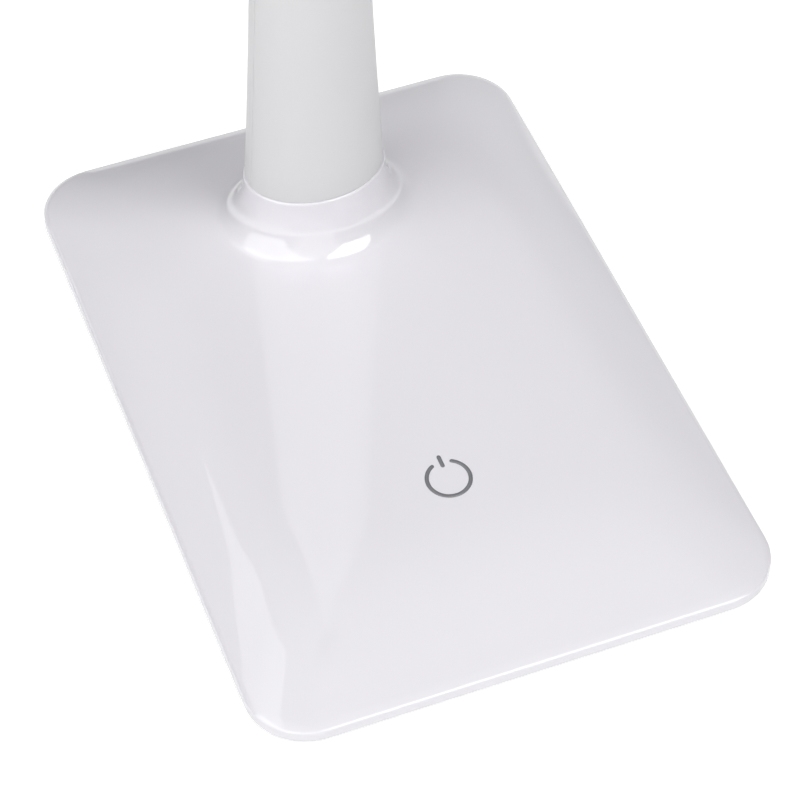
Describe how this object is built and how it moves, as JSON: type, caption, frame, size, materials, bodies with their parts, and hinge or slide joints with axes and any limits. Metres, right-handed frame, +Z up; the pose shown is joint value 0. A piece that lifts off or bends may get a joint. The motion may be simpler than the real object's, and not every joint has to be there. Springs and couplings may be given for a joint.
{
  "type": "folding led desk lamp",
  "caption": "White desk lamp with a low domed rectangular base, a touch switch, an oval tapered stem and a slim LED light bar that folds on a friction hinge.",
  "frame": {"origin": "on the desk, under the middle of the base", "axes": "+Z up, the light bar points to -Y from the stem at the back (+Y), +X to the right when the base's touch switch is read"},
  "size_m": [0.12, 0.2498, 0.277],
  "materials": {
    "gloss_white": "glossy",
    "satin_white": "satin",
    "pad_grey": "matte",
    "ballast_iron": "as rolled",
    "screw_steel": "zinc plated",
    "circuit_green": "solder resist",
    "foam_grey": "matte",
    "socket_steel": "bright",
    "wire_red": "smooth",
    "cable_black": "smooth",
    "cast_grey": "satin",
    "tube_white": "satin",
    "hinge_steel": "satin",
    "washer_cream": "smooth",
    "diffuser_white": "frosted",
    "reflector_white": "smooth",
    "led_board_white": "solder resist",
    "led_yellow": "smooth",
    "spreader_aluminium": "rolled"
  },
  "bodies": {
    "stand": {"base_top_shell": "gloss_white", "bottom_plate": "satin_white", "anti_slip_pad": "pad_grey", "ballast_plate": "ballast_iron", "base_screws": "screw_steel", "control_board": "circuit_green", "touch_foam": "foam_grey", "socket_board": "circuit_green", "power_socket": "socket_steel", "supply_wires": "wire_red", "stem_foot": "cast_grey", "foot_screws": "screw_steel", "stem_tube": "tube_white", "stem_rear_shell": "satin_white", "stem_front_cover": "satin_white", "stem_cable": "cable_black", "hinge_eye": "hinge_steel", "friction_washers": "washer_cream", "pivot_screws": "screw_steel", "disc_springs": "screw_steel"},
    "head": {"hinge_fork": "hinge_steel", "fork_screws": "screw_steel", "bar_top_housing": "satin_white", "bar_bottom_frame": "satin_white", "frame_screws": "screw_steel", "diffuser": "diffuser_white", "reflector": "reflector_white", "led_board": "led_board_white", "leds": "led_yellow", "heat_spreader": "spreader_aluminium", "board_screws": "screw_steel", "bar_cable": "cable_black", "hinge_cap_left": "satin_white", "hinge_cap_right": "satin_white"}
  },
  "joints": [
    {"name": "head_fold", "type": "hinge", "parent": "stand", "child": "head", "pos_m": [0, 0.03791, 0.255], "axis": [1, 0, 0], "range_deg": [-90, 90]}
  ]
}
